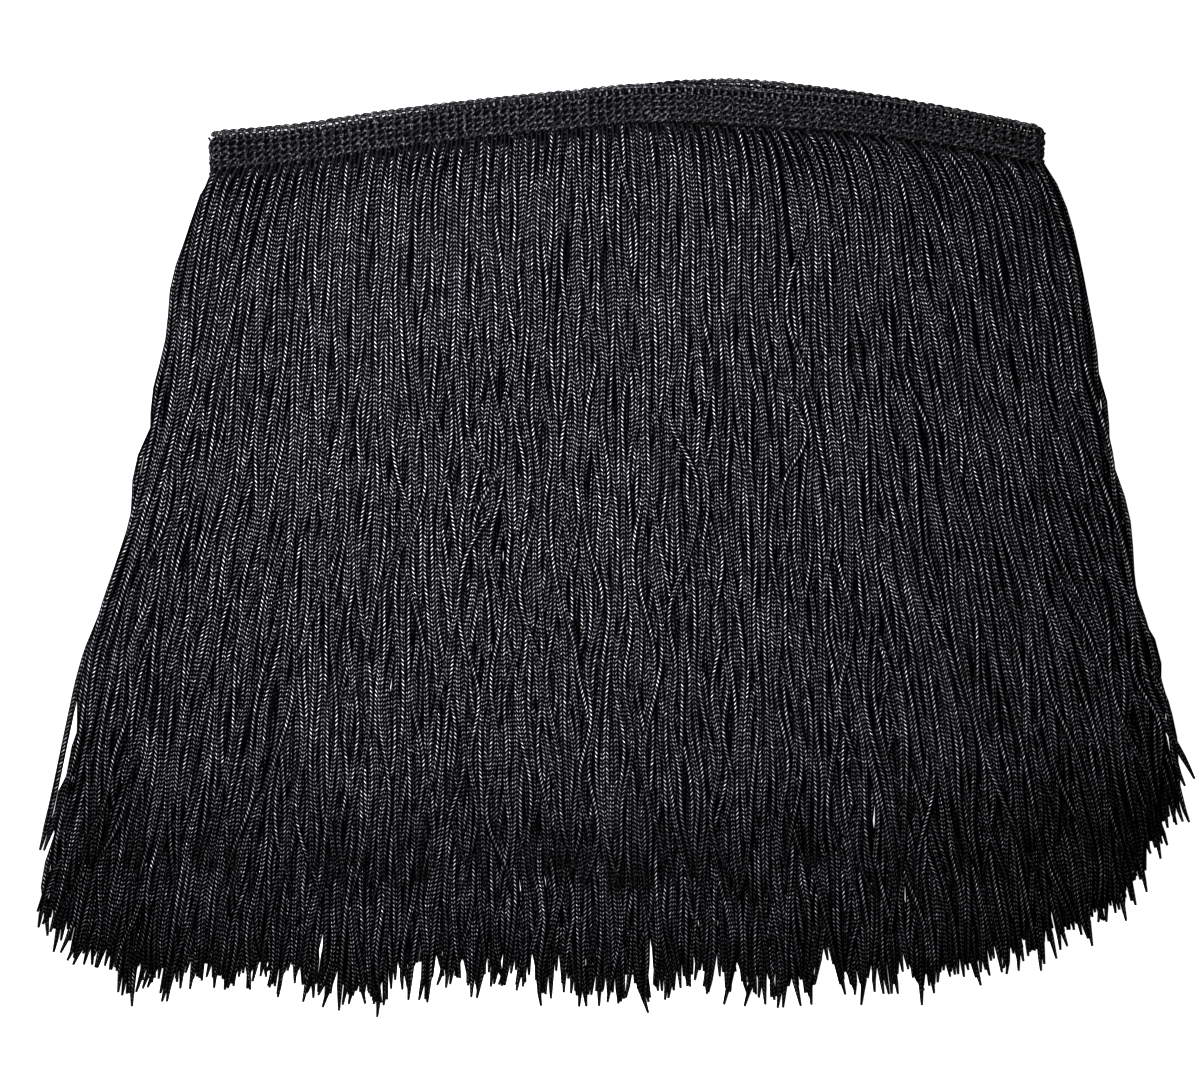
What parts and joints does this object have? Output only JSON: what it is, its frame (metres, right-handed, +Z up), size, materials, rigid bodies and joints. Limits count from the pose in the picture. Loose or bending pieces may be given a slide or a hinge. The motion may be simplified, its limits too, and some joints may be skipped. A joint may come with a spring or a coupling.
{
  "type": "tassel fringe trim",
  "caption": "Black knitted-cord fringe trim: a narrow crocheted heading with long fine cords, folded back and forth and laid flat.",
  "frame": {"origin": "middle of the folded trim's outline, on the surface it lies on", "axes": "+X along the heading, +Y from the cut ends of the cords to the heading, +Z up through the folded layers"},
  "size_m": [0.335, 0.2714, 0.0096],
  "materials": {
    "heading_yarn": "matt crocheted black yarn",
    "cord_yarn": "knitted black viscose cord with a fine silky glint"
  },
  "bodies": {
    "root": {"heading": "heading_yarn", "fringe": "cord_yarn"}
  },
  "joints": []
}
